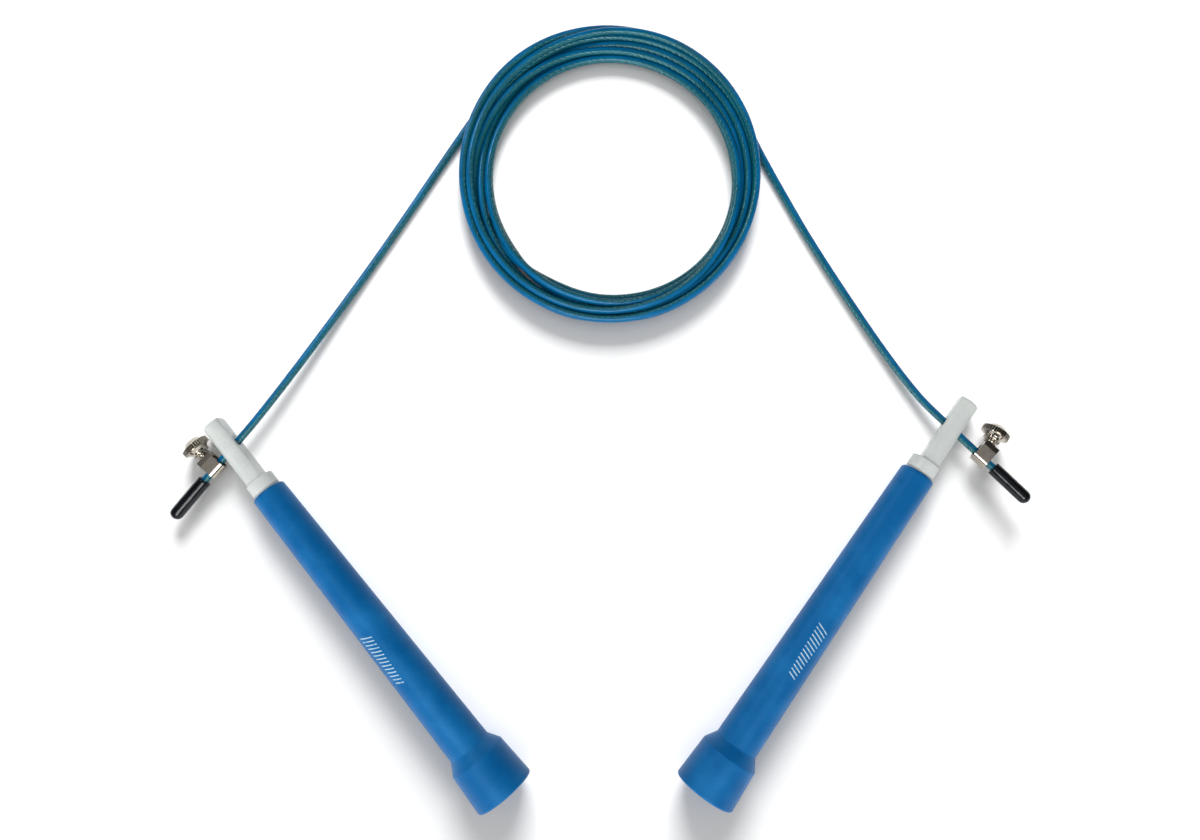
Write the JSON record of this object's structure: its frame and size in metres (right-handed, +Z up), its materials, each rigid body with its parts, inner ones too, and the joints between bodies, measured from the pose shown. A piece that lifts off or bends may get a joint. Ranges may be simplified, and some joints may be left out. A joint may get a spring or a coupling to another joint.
{
  "type": "jump rope",
  "caption": "Speed rope with tapered flared grips, nylon swivel arms and a thin coated steel cable, clamped by thumbscrews behind each arm and lying in a round coil.",
  "frame": {"origin": "on the surface the rope lies on, at the middle of the box round the two handles", "axes": "+Z up, +X across from the left handle to the right handle, +Y from the handles' flared ends towards the coil"},
  "size_m": [0.3005, 0.2765, 0.0227],
  "materials": {
    "grip_blue": "moulded satin with fine texture",
    "plug_blue": "moulded satin",
    "arm_white": "white nylon",
    "washer_white": "white nylon",
    "steel": "zinc plated",
    "nickel": "bright nickel plate",
    "cap_black": "glossy vinyl",
    "cable_blue": "clear blue vinyl over twisted steel wire"
  },
  "bodies": {
    "cable": {"cable_left_run": "cable_blue", "cable_right_run": "cable_blue", "cable_coil": "cable_blue", "left_end_cap": "cap_black", "right_end_cap": "cap_black"},
    "left_clamp": {"left_clamp_strap": "nickel"},
    "left_thumbscrew": {"left_thumbscrew": "nickel"},
    "left_arm": {"left_swivel_arm": "arm_white", "left_retaining_washer": "steel", "left_retaining_screw": "steel"},
    "left_handle": {"left_grip": "grip_blue", "left_end_plug": "plug_blue", "left_thrust_washer": "washer_white"},
    "right_clamp": {"right_clamp_strap": "nickel"},
    "right_thumbscrew": {"right_thumbscrew": "nickel"},
    "right_arm": {"right_swivel_arm": "arm_white", "right_retaining_washer": "steel", "right_retaining_screw": "steel"},
    "right_handle": {"right_grip": "grip_blue", "right_end_plug": "plug_blue", "right_thrust_washer": "washer_white"}
  },
  "joints": [
    {"name": "left_clamp_slide", "type": "slide", "parent": "cable", "child": "left_clamp", "axis": [-0.6456, -0.7637, 0.0075], "range_m": [0, 0.0026]},
    {"name": "left_thumbscrew_turn", "type": "hinge", "parent": "left_clamp", "child": "left_thumbscrew", "pos_m": [-0.13219, 0.04599, 0.00544], "axis": [-0.6752, 0.7368, 0.0349], "range_deg": [0, 540]},
    {"name": "left_arm_swing", "type": "hinge", "parent": "cable", "child": "left_arm", "pos_m": [-0.126, 0.05332, 0.00537], "axis": [-0.6456, -0.7637, 0.0075], "range_deg": [-115, 115]},
    {"name": "left_handle_spin", "type": "hinge", "parent": "left_arm", "child": "left_handle", "pos_m": [-0.1136, 0.0379, 0.00615], "axis": [-0.6261, 0.7787, -0.0393], "continuous": true},
    {"name": "right_clamp_slide", "type": "slide", "parent": "cable", "child": "right_clamp", "axis": [0.695, -0.7019, 0.1559], "range_m": [-0.0044, 0.0022]},
    {"name": "right_thumbscrew_turn", "type": "hinge", "parent": "right_clamp", "child": "right_thumbscrew", "pos_m": [0.13673, 0.04988, 0.00771], "axis": [0.5451, 0.8236, -0.1564], "range_deg": [0, 540]},
    {"name": "right_arm_swing", "type": "hinge", "parent": "cable", "child": "right_arm", "pos_m": [0.12631, 0.06041, 0.00537], "axis": [0.695, -0.7019, 0.1559], "range_deg": [-115, 115]},
    {"name": "right_handle_spin", "type": "hinge", "parent": "right_arm", "child": "right_handle", "pos_m": [0.1151, 0.0441, 0.00615], "axis": [0.566, 0.8235, -0.0393], "continuous": true}
  ]
}
